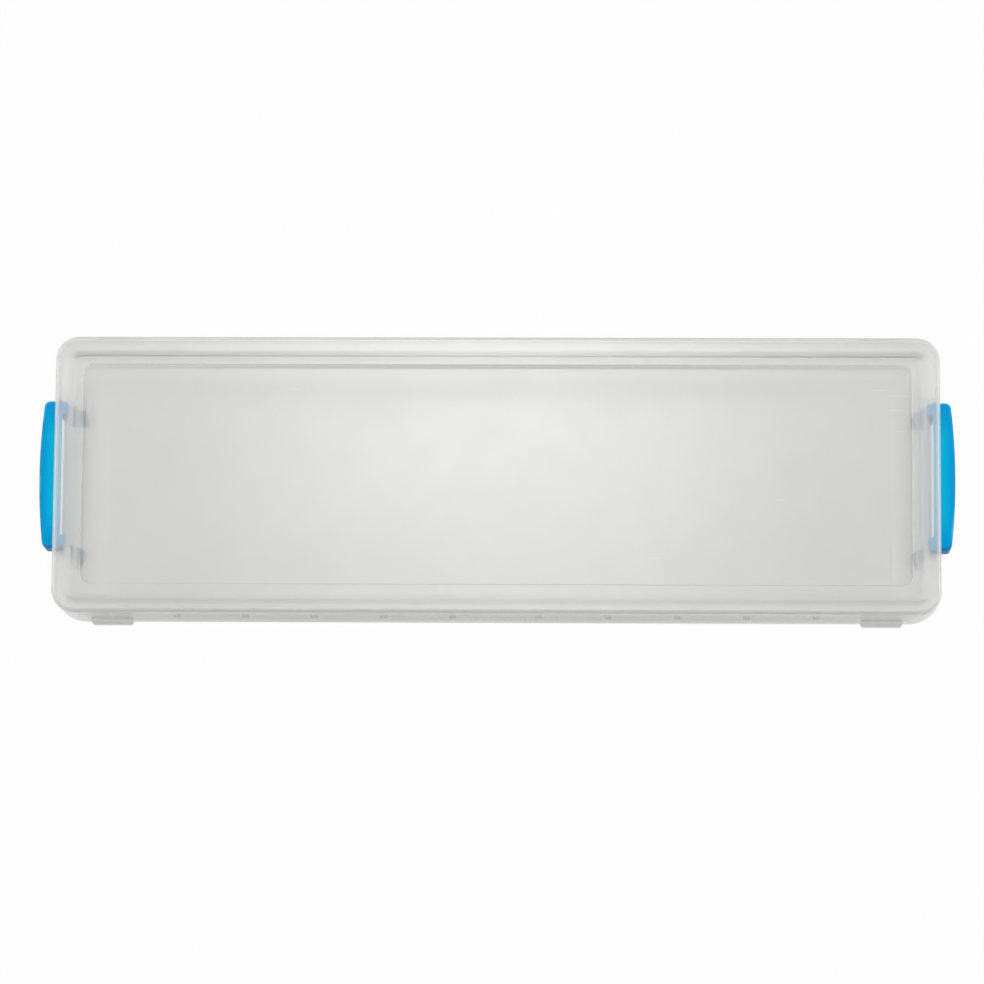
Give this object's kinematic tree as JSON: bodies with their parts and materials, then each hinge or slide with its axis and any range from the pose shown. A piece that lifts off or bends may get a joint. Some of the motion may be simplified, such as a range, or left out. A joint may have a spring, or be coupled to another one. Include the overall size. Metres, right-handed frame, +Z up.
{
  "type": "stackable storage box",
  "caption": "Long low see-through storage box with tapered walls, a ribbed rim, a lift-off lid recessed for stacking, and a swing latch at each end.",
  "frame": {"origin": "middle of the underside, on the surface that the box stands on", "axes": "+X along the box towards the right-hand latch, +Y across the box away from the picture's camera, +Z up through the lid"},
  "size_m": [0.372, 0.119, 0.063],
  "materials": {
    "box_plastic": "smooth, satin, see-through natural polypropylene with a milky haze",
    "latch_plastic": "smooth, cyan blue, slightly see-through at thin edges"
  },
  "bodies": {
    "base": {"base": "box_plastic"},
    "lid": {"lid": "box_plastic"},
    "latch_left": {"latch_left": "latch_plastic"},
    "latch_right": {"latch_right": "latch_plastic"}
  },
  "joints": [
    {"name": "lid_lift", "type": "slide", "parent": "base", "child": "lid", "axis": [0, 0, 1], "range_m": [0, 0.06]},
    {"name": "latch_left_swing", "type": "hinge", "parent": "base", "child": "latch_left", "pos_m": [-0.1734, 0, 0.024], "axis": [0, -1, 0], "range_deg": [0, 100]},
    {"name": "latch_right_swing", "type": "hinge", "parent": "base", "child": "latch_right", "pos_m": [0.1734, 0, 0.024], "axis": [0, 1, 0], "range_deg": [0, 100]}
  ]
}
